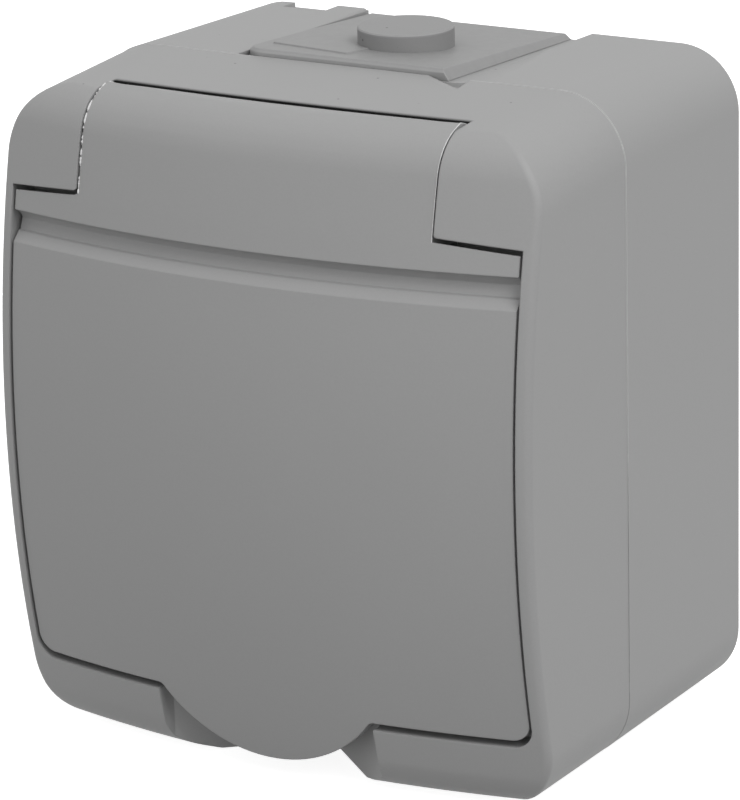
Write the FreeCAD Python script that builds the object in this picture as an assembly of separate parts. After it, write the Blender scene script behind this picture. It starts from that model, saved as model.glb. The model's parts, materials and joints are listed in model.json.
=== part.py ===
# Outdoor weatherproof socket: a surface-mounted box with a sprung lid over an earthed socket well.
# Millimetres. X to the right seen from the front, Y into the wall, Z up.
# The origin is the middle of the wall face, so the front of the box faces -Y.

import FreeCAD
import Part
import math
import os
from FreeCAD import Vector

# Box and front cover
box_width = 75.0
box_height = 84.4
front_depth = 59.65
parting_depth = 31.2
corner_radius = 8.7
back_corner_radius = 8.0
back_side_draft = 0.75
back_top_draft = 0.75
cover_side_draft_angle = 0.1
cover_top_draft_angle = 3.86
wall = 2.2
rear_wall = 2.4
top_wall = 4.2
cover_step = 0.07

half_width = box_width / 2
top_height = box_height / 2
bottom_height = -box_height / 2

# Bowed front. The rim of the cover stands a little ahead of the lid
crown_height = 0.3
side_bow_radius = 155.0
upright_bow_radius = 157.0
rim_lead = 0.25
front_rounding = 6.6
rounding_end_angle = 20.0
rounding_top_inset = 1.3
rounding_low_inset = 0.6
rounding_run = 8.0
front_edge_radius = 1.2

# Hinge
hinge_depth = front_depth - 10.35
hinge_height = top_height - 7.6
roll_radius = 6.66
roll_radius_growth = 0.3
roll_gap = 0.3
roll_end_depth = hinge_depth - 2.1
slot_edge_depth = hinge_depth - 2.6
slot_edge_bow = 0.7
trough_wall = 1.9
knuckle_radius = 6.1
knuckle_length = 5.4
pin_radius = 1.25
pin_running_gap = 0.05
pin_free_length = 9.0
pin_reach_in_ear = 6.3

# Lid
lid_half_width = half_width - 2.2
lid_panel_half_width = half_width - 12.8
lid_bottom_height = bottom_height + 10.1
lid_corner_radius = 2.3
lid_shoulder_inner_height = hinge_height - 5.8
lid_shoulder_outer_height = lid_shoulder_inner_height - 0.9
lid_wall = 2.3
lid_rim_wall = 1.8
tongue_radius = 18.6
tongue_tip_height = lid_bottom_height - 7.55
tongue_root_radius = 1.0
lid_inner_corner_radius = 1.0
shoulder_sweep_inner = 8.0
shoulder_sweep_outer = 7.5
lid_hollow_lip = 1.2
lid_band_lip = 0.6

knuckle_outer = lid_panel_half_width - 0.3
knuckle_inner = knuckle_outer - knuckle_length

# Groove across the lid
groove_top_height = hinge_height - 9.1
groove_bottom_height = groove_top_height - 3.9
groove_depth = 1.65
groove_lip = 1.3
groove_land = 1.25
groove_step = 0.35
groove_step_share = 0.8
groove_middle_share = 0.58
groove_middle_depth_share = 0.75
groove_step_drop = 0.1

# Gaps round the lid
lid_side_gap = 0.4
lid_bottom_gap = 0.9
ear_side_gap = 0.3
ear_bottom_inner_height = lid_shoulder_inner_height + 0.6
ear_bottom_outer_height = lid_shoulder_outer_height + 0.7
ear_corner_radius = 0.4
lid_floor_gap = 0.4

# Lid spring on the right-hand pin
spring_wire = 0.35
spring_turns = 8
spring_pin_gap = 0.25
spring_end_gap = 0.8
spring_leg = 5.2
spring_leg_share = 0.95
spring_leg_lean = 0.15

# Cover floor and collar
floor_depth = front_depth - 11.05
floor_thickness = 2.1
lid_rim_depth = floor_depth + lid_floor_gap
socket_height = -4.5
collar_thickness = 1.5
collar_front_depth = front_depth - 7.25
collar_gap = 0.1
seal_gap = 0.2
seal_thickness = 0.9
seal_ring_width = 1.4
lid_ring_extra = 0.6

# Finger recess under the tongue
recess_front_half_width = 15.4
recess_bend_half_width = 15.0
recess_bend_depth = front_depth - 6.7
recess_back_half_width = 2.8
recess_back_depth = front_depth - 16.95
recess_wall = 1.6
recess_roof_height = lid_bottom_height - 1.5

# Socket well
well_radius = 21.5
well_wall = 1.2
well_depth = 17.5
well_floor = 2.5
pin_spacing = 19.0
pin_hole_radius = 2.65
guide_rib_width = 4.4
guide_rib_height = 2.2
well_screw_radius = 1.75
well_screw_length = 11.5
well_screw_head_radius = 3.2
well_screw_head_height = 1.9

# Contact carrier
carrier_half_width = 20.5
carrier_half_height = 20.0
carrier_thickness = 15.0
carrier_corner_radius = 6.0
carrier_lug_thickness = 3.0
carrier_lug_radius = 4.2
carrier_pillar_radius = 3.8
carrier_screw_offset = half_width - 9.5
carrier_screw_radius = 1.75
carrier_screw_head_radius = 3.1
carrier_screw_head_height = 2.0
carrier_screw_length = 12.0
carrier_rear_skin = 3.0
fit_gap = 0.15

# Contacts and terminals
sleeve_bore_radius = 2.45
sleeve_wall = 0.7
sleeve_length = 13.0
sleeve_slit = 0.6
sleeve_slit_start = 3.0
strip_thickness = 0.8
strap_width = 5.0
clip_length = 14.0
clip_offset = 19.6
clip_bulge_radius = 2.6
clip_bulge_centre = 1.4
clip_bulge_share = 0.72
cage_width = 6.6
cage_height = 7.0
cage_depth = 8.0
cage_wall = 1.2
cage_front_wall = 1.92
cage_offset = 14.2
cage_spacing = 13.0
terminal_screw_radius = 1.5
terminal_head_radius = 2.4
terminal_head_height = 1.4
terminal_head_gap = 0.3
clamp_thickness = 1.0
clamp_top_gap = 0.8
clamp_side_gap = 0.1
clamp_reach_up = 2.0
clamp_reach_down = 2.4

# Cover screws and their posts
cover_screw_side = half_width - 6.5
cover_screw_upper_height = top_height - 19.2
cover_screw_lower_height = bottom_height + 16.2
cover_screw_spots = [
    (cover_screw_side, cover_screw_upper_height),
    (-cover_screw_side, cover_screw_lower_height),
]
post_radius = 4.6
cover_screw_radius = 1.75
cover_screw_head_radius = 3.1
cover_screw_head_height = 2.0
cover_screw_sink = 3.4
cover_screw_length = 26.0
screw_hole_gap = 0.15
screw_ring_thickness = 0.8
screw_head_chamfer_share = 0.2
slot_in_head_width = 0.8
slot_in_head_depth = 0.9

# Seal between box and cover
joint_seal_width = 1.0
joint_seal_depth = 2.2
joint_seal_inset = 1.2

# Wall fixing slots
fixing_spacing = 52.0
fixing_height = 12.0
fixing_hole_radius = 2.25
fixing_slot_length = 9.0

# Cable entry on top: a slide-in slab on a seat that falls slightly towards the wall
entry_left = -16.2
entry_right = 13.4
entry_bevel = 0.9
entry_length = parting_depth - 0.2
entry_seat_front_height = top_height - 0.6
entry_seat_back_height = top_height - 1.77
entry_front_thickness = 1.4
entry_back_thickness = 0.72
entry_corner_radius = 3.0
entry_edge_chamfer = 0.4
entry_side_gap = 0.25
valley_floor_right = 14.6
valley_back_right = 16.3
valley_front_right = 19.8
valley_bend_depth = 12.0
notch_left = 10.75
notch_tip = 16.8
notch_right = 16.5
notch_reach = 3.7
notch_floor_height = top_height - 1.2
pad_corners = [(-14.3, -26.5), (-2.6, -28.3), (-1.0, -18.0), (-12.5, -16.0)]
pad_thickness = 0.2
grommet_radius = 6.03
grommet_depth = 18.3
grommet_top_height = top_height + 2.5
grommet_neck_radius = 4.5
grommet_flange_radius = 5.7
grommet_flange_thickness = 1.3
grommet_edge = 0.15
entry_bore_gap = 0.5

# Rear edge of the top
rear_notch_left = -27.6
rear_notch_right = -21.0
rear_notch_depth = 0.6
rear_notch_length = 3.0
rear_block_rise = 0.2
rear_block_radius = 0.8
rear_block_length = 12.0

FAR = 200.0
BAR_LEAD = 20.0
FRONT_TURN = 25
GROOVE_TURN = 20
AXIS_X = Vector(1, 0, 0)
AXIS_Y = Vector(0, 1, 0)
AXIS_Z = Vector(0, 0, 1)

hinge_point = Vector(0, -hinge_depth, hinge_height)
bow_centre_depth = side_bow_radius - front_depth
upright_centre_depth = upright_bow_radius - front_depth
pin_inner_end = knuckle_inner - pin_free_length
pin_outer_end = lid_panel_half_width + pin_reach_in_ear
well_front = -collar_front_depth
well_floor_front = well_front + well_depth
carrier_front = well_floor_front + well_floor
carrier_back = carrier_front + carrier_thickness
cage_front = carrier_front + terminal_head_height + terminal_head_gap


def block(x0, x1, y0, y1, z0, z1):
    """Box between two corners, given in any order."""
    low = Vector(min(x0, x1), min(y0, y1), min(z0, z1))
    size = Vector(abs(x1 - x0), abs(y1 - y0), abs(z1 - z0))
    return Part.makeBox(size.x, size.y, size.z, low)


def rod(radius, start, end):
    """Round bar from one point to another."""
    return Part.makeCylinder(radius, (end - start).Length, start, end - start)


def y_rod(radius, x, z, y0, y1):
    """Round bar along the depth of the box."""
    return rod(radius, Vector(x, y0, z), Vector(x, y1, z))


def tube(outer, inner, x, z, y0, y1):
    """Ring-shaped wall along the depth of the box."""
    return y_rod(outer, x, z, y0, y1).cut(y_rod(inner, x, z, y0, y1))


def mirror_x(shape):
    """The same shape on the other side of the box."""
    return shape.mirror(Vector(0, 0, 0), AXIS_X)


def fuse_all(shapes):
    """One solid from several that touch or overlap."""
    return shapes[0].multiFuse(shapes[1:]).removeSplitter()


def loop(points, y):
    """Closed outline in a plane of constant depth, from (x, z) points."""
    corners = [Vector(x, y, z) for x, z in points]
    return Part.makePolygon(corners + corners[:1])


def prism(points, y0, y1):
    """Straight bar whose section is an (x, z) outline."""
    return Part.Face(loop(points, y0)).extrude(Vector(0, y1 - y0, 0))


def plan_prism(points, z0, z1):
    """Upright bar whose section is an (x, y) outline."""
    corners = [Vector(x, y, z0) for x, y in points]
    face = Part.Face(Part.makePolygon(corners + corners[:1]))
    return face.extrude(Vector(0, 0, z1 - z0))


def rounded_outline(half, top, bottom, radius, y):
    """Rectangle with four round corners, in a plane of constant depth."""
    edges = []
    turns = [(half, top, 0), (-half, top, 1), (-half, bottom, 2), (half, bottom, 3)]
    starts = []
    ends = []
    for x, z, quarter in turns:
        centre = Vector(x - math.copysign(radius, x), y, z - math.copysign(radius, z))
        spots = []
        for part in (0, 0.5, 1):
            angle = (quarter + part) * math.pi / 2
            spots.append(centre + Vector(math.cos(angle), 0, math.sin(angle)) * radius)
        edges.append(Part.Arc(*spots).toShape())
        starts.append(spots[0])
        ends.append(spots[2])
    for corner in range(4):
        edges.append(Part.makeLine(ends[corner], starts[(corner + 1) % 4]))
    return Part.Wire(Part.__sortEdges__(edges))


def cover_outline(y, inset=cover_step, top_inset=cover_step):
    """Outline of the front cover at one depth, with its draft and a hair inside the box's."""
    ahead = -parting_depth - y
    side = half_width - ahead * math.tan(math.radians(cover_side_draft_angle)) - inset
    top = top_height - ahead * math.tan(math.radians(cover_top_draft_angle)) - top_inset
    low = bottom_height + (inset if inset > cover_step else 0)
    return rounded_outline(side, top, low, corner_radius - inset, y)


def back_outline(y, inset=0.0, top_inset=0.0):
    """Outline of the back box at one depth, with its draft."""
    share = 1 + y / parting_depth
    side = half_width - back_side_draft * share - inset
    top = top_height - back_top_draft * share - top_inset
    radius = corner_radius + (back_corner_radius - corner_radius) * share - inset
    return rounded_outline(side, top, bottom_height + inset, radius, y)


def loft(first, last):
    """Solid between two outlines, with straight sides."""
    return Part.makeLoft([first, last], True, True)


def rounding(radius, limit, side):
    """Arc that leads from the bowed front to the top (side 1) or bottom (side -1)."""
    end_angle = math.radians(90 - rounding_end_angle)
    centre_z = limit - side * radius * math.sin(end_angle)
    reach = upright_bow_radius - radius
    centre_y = upright_centre_depth - math.sqrt(reach ** 2 - (centre_z - crown_height) ** 2)
    centre = Vector(0, centre_y, centre_z)
    bow_centre = Vector(0, upright_centre_depth, crown_height)
    start = bow_centre + (centre - bow_centre).normalize() * upright_bow_radius
    start_angle = math.atan2(side * (start.z - centre.z), centre.y - start.y)
    spots = []
    for angle in ((start_angle + end_angle) / 2, end_angle):
        spots.append(centre + Vector(0, -math.cos(angle), side * math.sin(angle)) * radius)
    run = Vector(0, math.sin(end_angle), side * math.cos(end_angle)) * rounding_run
    return start, spots[0], spots[1], spots[1] + run


def bowed_front(shift=0.0, round_bottom=True):
    """Solid behind the bowed front. Its upright section turns about a far upright axis."""
    top = rounding(front_rounding, top_height - rounding_top_inset, 1)
    crown = Vector(0, -front_depth, crown_height)
    behind = -floor_depth / 2
    edges = [Part.Arc(top[0], top[1], top[2]).toShape(), Part.makeLine(top[2], top[3])]
    edges.append(Part.makeLine(top[3], Vector(0, behind, top[3].z)))
    if round_bottom:
        low = rounding(front_rounding, bottom_height + rounding_low_inset, -1)
        edges.append(Part.Arc(low[0], crown, top[0]).toShape())
        edges.append(Part.Arc(low[0], low[1], low[2]).toShape())
        edges.append(Part.makeLine(low[2], low[3]))
        last = low[3]
    else:
        drop = bottom_height - front_rounding
        last = Vector(0, front_y(0, drop), drop)
        edges.append(Part.Arc(last, crown, top[0]).toShape())
    edges.append(Part.makeLine(last, Vector(0, behind, last.z)))
    edges.append(Part.makeLine(Vector(0, behind, top[3].z), Vector(0, behind, last.z)))
    face = Part.Face(Part.Wire(Part.__sortEdges__(edges)))
    axis = Vector(0, bow_centre_depth, 0)
    face.rotate(axis, AXIS_Z, -FRONT_TURN)
    solid = face.revolve(axis, AXIS_Z, 2 * FRONT_TURN)
    solid.translate(Vector(0, shift, 0))
    return solid


def front_y(x, z):
    """Depth of the bowed front at one place, as a Y value."""
    rise = math.sqrt(upright_bow_radius ** 2 - (z - crown_height) ** 2)
    reach = side_bow_radius - (upright_bow_radius - rise)
    return bow_centre_depth - math.sqrt(reach ** 2 - x ** 2)


def roller(middle_radius, half_length):
    """Waisted roller about the hinge axis: thicker at its ends, like the bowed slot."""
    end_radius = middle_radius + roll_radius_growth
    spots = []
    for x, radius in ((-half_length, end_radius), (0, middle_radius), (half_length, end_radius)):
        spots.append(hinge_point + Vector(x, 0, radius))
    left = hinge_point + Vector(-half_length, 0, 0)
    right = hinge_point + Vector(half_length, 0, 0)
    edges = [Part.Arc(*spots).toShape(), Part.makeLine(spots[2], right)]
    edges.append(Part.makeLine(right, left))
    edges.append(Part.makeLine(left, spots[0]))
    return Part.Face(Part.Wire(edges)).revolve(hinge_point, AXIS_X, 360)


def x_rod(radius, x0, x1, centre=hinge_point):
    """Round bar across the box, on the hinge axis unless told otherwise."""
    return rod(radius, centre + Vector(x0, 0, 0), centre + Vector(x1, 0, 0))


def cover_envelope():
    """Outer form of the front cover with its round front edges."""
    shell = loft(cover_outline(-parting_depth), cover_outline(-front_depth - front_rounding))
    body = shell.common(bowed_front(shift=-rim_lead))
    edges = []
    for edge in body.Edges:
        middle = edge.valueAt((edge.FirstParameter + edge.LastParameter) / 2)
        if middle.y > -parting_depth - 1:
            continue
        normals = []
        for face in body.ancestorsOfType(edge, Part.Face):
            u, v = face.Surface.parameter(middle)
            normals.append(face.normalAt(u, v))
        if math.degrees(normals[0].getAngle(normals[1])) > 5:
            edges.append(edge)
    return body.makeFillet(front_edge_radius, edges)


def lid_outline():
    """Front view of the lid: panel, shoulders, straight sides and the tongue, as one wire."""
    side = lid_half_width
    low = lid_bottom_height
    tongue_centre = tongue_tip_height + tongue_radius
    root = math.sqrt(tongue_radius ** 2 - (low - tongue_centre) ** 2)
    panel = lid_panel_half_width
    right = [(panel, FAR / 4), (panel, lid_shoulder_inner_height)]
    right.append((side, lid_shoulder_outer_height))
    right.append((side, low))
    right.append((root, low))
    points = [Vector(x, 0, z) for x, z in right]
    left = [Vector(-p.x, 0, p.z) for p in reversed(points)]
    edges = []
    for run in (points, left):
        for first, second in zip(run, run[1:]):
            edges.append(Part.makeLine(first, second))
    tip = Vector(0, 0, tongue_tip_height)
    edges.append(Part.Arc(points[-1], tip, left[0]).toShape())
    edges.append(Part.makeLine(left[-1], points[0]))
    return Part.Wire(Part.__sortEdges__(edges))


def lid_plate():
    """Straight bar with the lid's front view, with its corners rounded."""
    bar = Part.Face(lid_outline()).extrude(Vector(0, FAR / 2, 0))
    bar.translate(Vector(0, -FAR / 2 - BAR_LEAD, 0))
    corners = []
    for edge in bar.Edges:
        middle = edge.valueAt((edge.FirstParameter + edge.LastParameter) / 2)
        if abs(edge.BoundBox.YLength - FAR / 2) > 0.01:
            continue
        if abs(middle.z - lid_bottom_height) < 0.01 and abs(middle.x) > lid_half_width - 0.01:
            corners.append(edge)
    bar = bar.makeFillet(lid_corner_radius, corners)
    roots = []
    shoulder = []
    for edge in bar.Edges:
        middle = edge.valueAt((edge.FirstParameter + edge.LastParameter) / 2)
        if abs(edge.BoundBox.YLength - FAR / 2) > 0.01:
            continue
        between_corners = abs(middle.x) < lid_half_width - 2 * lid_corner_radius
        if abs(middle.z - lid_bottom_height) < 0.01 and between_corners:
            roots.append(edge)
        if abs(middle.z - lid_shoulder_inner_height) < 0.01 and middle.x < 0:
            shoulder.append(edge)
    bar = bar.makeFillet(tongue_root_radius, roots)
    return bar.makeFillet(lid_inner_corner_radius, shoulder)


def groove():
    """Cove that runs across the lid, turned about the same far axis as the front."""
    top = groove_top_height
    low = groove_bottom_height
    deep = groove_depth

    def spot(z, depth):
        return Vector(0, front_y(0, z) + depth, z)

    start = spot(top, 0)
    middle = spot(top - groove_lip * groove_middle_share, deep * groove_middle_depth_share)
    cove = [middle, spot(top - groove_lip, deep)]
    step_depth = deep * groove_step_share
    step_top = spot(low + groove_land, step_depth)
    step_low = spot(low + groove_land - groove_step_drop, step_depth - groove_step)
    end = spot(low, 0)
    outside = [Vector(0, end.y - front_rounding, end.z), Vector(0, start.y - front_rounding, start.z)]
    edges = [Part.Arc(start, cove[0], cove[1]).toShape()]
    edges.append(Part.makeLine(cove[1], step_top))
    edges.append(Part.makeLine(step_top, step_low))
    edges.append(Part.makeLine(step_low, end))
    edges.append(Part.makeLine(end, outside[0]))
    edges.append(Part.makeLine(outside[0], outside[1]))
    edges.append(Part.makeLine(outside[1], start))
    face = Part.Face(Part.Wire(edges))
    axis = Vector(0, bow_centre_depth, 0)
    face.rotate(axis, AXIS_Z, -GROOVE_TURN)
    return face.revolve(axis, AXIS_Z, 2 * GROOVE_TURN)


def shoulder_sweep():
    """Room that the lid's shoulders leave for the cover's ears, turned about the hinge axis."""
    outer = lid_half_width + 1
    slope = (shoulder_sweep_outer - shoulder_sweep_inner) / (outer - lid_panel_half_width)
    corners = [(lid_panel_half_width, 0), (outer, 0)]
    corners.append((outer, shoulder_sweep_inner + slope * (outer - lid_panel_half_width)))
    corners.append((lid_panel_half_width, shoulder_sweep_inner))
    points = [hinge_point + Vector(x, 0, r) for x, r in corners]
    right = Part.Face(Part.makePolygon(points + points[:1])).revolve(hinge_point, AXIS_X, 360)
    return [right, mirror_x(right)]


def lid():
    """Lid with its rolled top, groove, finger tongue, rim walls, seal ring and hinge knuckles."""
    skin = bowed_front(round_bottom=False).common(lid_plate())
    below = block(-FAR / 2, FAR / 2, -FAR / 2, -lid_rim_depth, -FAR / 2, hinge_height)
    above = block(-FAR / 2, FAR / 2, -FAR / 2, FAR / 2, hinge_height, FAR / 2)
    upper = skin.common(above).common(roller(roll_radius, lid_panel_half_width + 1))
    body = skin.common(below).fuse(upper)
    inner_front = bowed_front(shift=lid_wall, round_bottom=False)
    half = lid_half_width - lid_rim_wall
    hollow_low = lid_bottom_height + lid_rim_wall
    hollow_top = groove_bottom_height - lid_hollow_lip
    hollow = inner_front.common(block(-half, half, -FAR / 2, 0, hollow_low, hollow_top))
    band_low = groove_top_height + lid_band_lip
    band_top = hinge_height - knuckle_radius - lid_floor_gap - 1
    deeper = bowed_front(shift=lid_wall + groove_depth, round_bottom=False)
    band = deeper.common(block(-half, half, -FAR / 2, 0, hollow_top, band_low))
    gap = knuckle_inner
    bridge = inner_front.common(block(-gap, gap, -FAR / 2, 0, band_low, hinge_height))
    wings = inner_front.common(block(-half, half, -FAR / 2, 0, band_low, band_top))
    body = body.cut(hollow.multiFuse([band, bridge, wings]))
    core = x_rod(roll_radius - lid_wall, -gap, gap)
    rear = block(-gap, gap, -roll_end_depth, 0, hinge_height - 2, hinge_height + FAR / 4)
    lower_rear = block(-gap, gap, -hinge_depth, 0, hinge_height - FAR / 4, hinge_height)
    body = body.cut(core.multiFuse([rear, lower_rear]))
    skin_solid = bowed_front(shift=lid_wall / 2, round_bottom=False)
    knuckle = x_rod(knuckle_radius, knuckle_inner, knuckle_outer).common(skin_solid)
    body = body.multiFuse([knuckle, mirror_x(knuckle)])
    tongue_zone = block(-FAR / 2, FAR / 2, -FAR / 2, 0, -FAR / 2, lid_bottom_height)
    body = body.cut(inner_front.common(tongue_zone))
    ring_front = -collar_front_depth - seal_gap - seal_thickness
    ring_outer = well_radius + well_wall + collar_gap + collar_thickness
    ring_inner = ring_outer - seal_ring_width - lid_ring_extra
    ring = tube(ring_outer, ring_inner, 0, socket_height, -front_depth, ring_front)
    body = body.fuse(ring.common(skin_solid))
    body = body.cut(groove())
    for sweep in shoulder_sweep():
        body = body.cut(sweep)
    bore = x_rod(pin_radius + pin_running_gap, knuckle_inner - 1, knuckle_outer + 1)
    body = body.cut(bore.fuse(mirror_x(bore)))
    return body.removeSplitter()


def cover_posts(y0, y1, radius):
    """Two upright posts, one at each cover screw."""
    return [y_rod(radius, x, z, y0, y1) for x, z in cover_screw_spots]


def recess_plan(grow=0.0):
    """Plan of the finger recess, from its front edges to its back."""
    front = recess_front_half_width + grow
    bend = recess_bend_half_width + grow
    back = recess_back_half_width + grow * 0.6
    right = [(front, -front_depth), (front, -front_depth + 5.5), (bend, -recess_bend_depth)]
    right.append((back, -recess_back_depth + grow))
    left = [(-x, y) for x, y in reversed(right)]
    return right + left


def ear_cut():
    """Room under and between the cover's two ears, as an (x, z) outline."""
    side = lid_half_width + lid_side_gap
    inner = lid_panel_half_width + ear_side_gap
    low = lid_bottom_height - lid_bottom_gap
    right = [(side, low), (side, ear_bottom_outer_height), (inner, ear_bottom_inner_height)]
    right.append((inner, hinge_height))
    left = [(-x, z) for x, z in reversed(right)]
    return prism(right + left, -FAR / 2, -floor_depth)


def pocket():
    """Whole room that the lid lies and turns in."""
    low = ear_cut()
    corners = []
    for edge in low.Edges:
        middle = edge.valueAt((edge.FirstParameter + edge.LastParameter) / 2)
        at_bottom = abs(middle.z - (lid_bottom_height - lid_bottom_gap)) < 0.01
        if edge.BoundBox.YLength > 1 and at_bottom:
            corners.append(edge)
    low = low.makeFillet(lid_corner_radius + lid_side_gap, corners)
    ears = []
    for edge in low.Edges:
        middle = edge.valueAt((edge.FirstParameter + edge.LastParameter) / 2)
        if edge.BoundBox.YLength > 1 and abs(middle.z - ear_bottom_inner_height) < 0.01:
            ears.append(edge)
    low = low.makeFillet(ear_corner_radius, ears)
    inner = lid_panel_half_width + ear_side_gap
    turn = roller(roll_radius + roll_gap, inner)
    edge_middle = -slot_edge_depth
    edge_side = -slot_edge_depth + slot_edge_bow
    z = hinge_height
    arc = Part.Arc(Vector(-inner, edge_side, z), Vector(0, edge_middle, z), Vector(inner, edge_side, z))
    front = -front_depth - 5
    lines = [Part.makeLine(Vector(inner, edge_side, z), Vector(inner, front, z))]
    lines.append(Part.makeLine(Vector(inner, front, z), Vector(-inner, front, z)))
    lines.append(Part.makeLine(Vector(-inner, front, z), Vector(-inner, edge_side, z)))
    face = Part.Face(Part.Wire([arc.toShape()] + lines))
    above = face.extrude(Vector(0, 0, FAR / 4))
    return low.multiFuse([turn, above])


def front_cover():
    """Front cover: rim, ears, hinge trough, floor, round collar, screw posts and finger recess."""
    envelope = cover_envelope()
    back = -floor_depth + floor_thickness
    cavity = loft(cover_outline(-parting_depth, wall, top_wall), cover_outline(back, wall, top_wall))
    body = envelope.cut(cavity)
    trough_radius = roll_radius + roll_radius_growth + roll_gap + trough_wall
    trough = x_rod(trough_radius, -lid_panel_half_width - trough_wall, lid_panel_half_width + trough_wall)
    roof = recess_roof_height + recess_wall
    scoop_wall = plan_prism(recess_plan(recess_wall), bottom_height, roof)
    outer = well_radius + well_wall + collar_gap
    collar = y_rod(outer + collar_thickness, 0, socket_height, -collar_front_depth, back)
    posts = cover_posts(back, -parting_depth, post_radius)
    inner_parts = [trough.common(envelope), scoop_wall.common(envelope)]
    for post in posts:
        inner_parts.append(post.common(envelope))
    body = body.multiFuse(inner_parts).cut(pocket()).fuse(collar)
    body = body.cut(y_rod(outer, 0, socket_height, -FAR / 2, 0))
    body = body.cut(plan_prism(recess_plan(), bottom_height - 5, recess_roof_height))
    lip_room = plan_prism(recess_plan(), recess_roof_height - 1, lid_bottom_height - lid_bottom_gap)
    body = body.cut(lip_room.common(block(-FAR, FAR, -FAR, -floor_depth, -FAR, FAR)))
    for hole in cover_posts(-FAR / 2, 0, cover_screw_radius + screw_hole_gap):
        body = body.cut(hole)
    sink = -floor_depth + cover_screw_sink
    for hole in cover_posts(-FAR / 2, sink, cover_screw_head_radius + screw_hole_gap):
        body = body.cut(hole)
    bore = x_rod(pin_radius, lid_panel_half_width, pin_outer_end + screw_hole_gap)
    body = body.cut(bore.fuse(mirror_x(bore)))
    body = body.cut(seal_ring())
    body = body.cut(top_notch())
    return body.removeSplitter()


def seal_outline(inset, y):
    """Outline of the joint seal, which keeps under the cable entry's seat at the top."""
    top = top_height - top_wall + wall - inset
    return rounded_outline(half_width - inset, top, bottom_height + inset, corner_radius - inset, y)


def seal_ring():
    """Ring that fills the rebates of the box and the cover."""
    front = -parting_depth - joint_seal_depth / 2
    rear = -parting_depth + joint_seal_depth / 2
    inner = joint_seal_inset + joint_seal_width
    outside = loft(seal_outline(joint_seal_inset, front), seal_outline(joint_seal_inset, rear))
    return outside.cut(loft(seal_outline(inner, front), seal_outline(inner, rear)))


def seat_height(y):
    """Height of the slab's seat at one depth."""
    share = -y / parting_depth
    return entry_seat_back_height + (entry_seat_front_height - entry_seat_back_height) * share


def slab_section(y, extra):
    """Rear view of the slab at one depth: square left side, steep right side."""
    share = -y / parting_depth
    low = seat_height(y)
    thick = entry_back_thickness + (entry_front_thickness - entry_back_thickness) * share
    high = low + thick + extra
    bevel = entry_bevel * (thick + extra) / thick
    return loop([(entry_left, low), (entry_right, low), (entry_right - bevel, high), (entry_left, high)], y)


def slab(extra=0.0):
    """Slab that tapers towards the wall, with its front left corner rounded."""
    body = loft(slab_section(-entry_length, extra), slab_section(-fit_gap, extra))
    corner = []
    for edge in body.Edges:
        box = edge.BoundBox
        if box.XLength < 0.01 and box.YLength < 0.01 and box.XMax < entry_left + 0.01 \
                and box.YMax < -entry_length + 0.01:
            corner.append(edge)
    return body.makeFillet(entry_corner_radius, corner)


def entry_plate():
    """Slide-in slab that carries the rubber grommet, with a thin raised pad beside it."""
    body = slab()
    top = []
    for edge in body.Edges:
        middle = edge.valueAt((edge.FirstParameter + edge.LastParameter) / 2)
        above = middle.z > seat_height(middle.y) + entry_back_thickness / 2
        if above and edge.BoundBox.ZLength < 1.9 and middle.y < -fit_gap - 0.1:
            long_edge = edge.BoundBox.XLength + edge.BoundBox.YLength > 1
            if middle.x < entry_right - entry_bevel - 0.1 and long_edge:
                top.append(edge)
    body = body.makeChamfer(entry_edge_chamfer, top)
    pad = plan_prism(pad_corners, entry_seat_front_height, FAR).common(slab(pad_thickness))
    body = body.fuse(pad)
    neck = rod(grommet_neck_radius, Vector(0, -grommet_depth, 0), Vector(0, -grommet_depth, FAR / 2))
    return body.cut(neck).removeSplitter()


def entry_grommet():
    """Rubber grommet: closed disc on top, neck through the slab, flange under it."""
    plate = entry_plate()
    middle = entry_seat_front_height
    foot = entry_seat_back_height - grommet_flange_thickness / 2
    centre = Vector(0, -grommet_depth, 0)
    disc = rod(grommet_radius, centre + Vector(0, 0, middle), centre + Vector(0, 0, grommet_top_height))
    rim = [e for e in disc.Edges if e.BoundBox.ZMin > grommet_top_height - 0.01]
    disc = disc.makeChamfer(grommet_edge, rim)
    neck = rod(grommet_neck_radius, centre + Vector(0, 0, foot), centre + Vector(0, 0, middle))
    flange = rod(grommet_flange_radius, centre + Vector(0, 0, foot), centre + Vector(0, 0, middle))
    return fuse_all([disc, neck, flange]).cut(plate).removeSplitter()


def room_section(y, wall_right):
    """Seat of the slab at one depth, with the shallow valley on its right."""
    low = seat_height(y)
    surface = top_height - back_top_draft * (1 + y / parting_depth)
    left = entry_left - entry_side_gap
    run = (wall_right - valley_floor_right) / (surface - low)
    high = surface + 1
    right = valley_floor_right + run * (high - low)
    return loop([(left, low), (valley_floor_right, low), (right, high), (left, high)], y)


def entry_room():
    """Room for the slab in the top of the box. Its valley flares out towards the front."""
    bend = room_section(-valley_bend_depth, valley_back_right)
    rear = loft(room_section(fit_gap, valley_back_right), bend)
    front = loft(bend, room_section(-parting_depth - fit_gap, valley_front_right))
    return rear.fuse(front)


def top_notch():
    """Three-cornered notch in the cover's top edge, where the valley ends."""
    near = -parting_depth + 1
    corners = [(notch_left, near), (notch_left, -parting_depth)]
    corners.append((notch_tip, -parting_depth - notch_reach))
    corners.append((notch_right, -parting_depth))
    corners.append((notch_right, near))
    return plan_prism(corners, notch_floor_height, top_height + 1)


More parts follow.
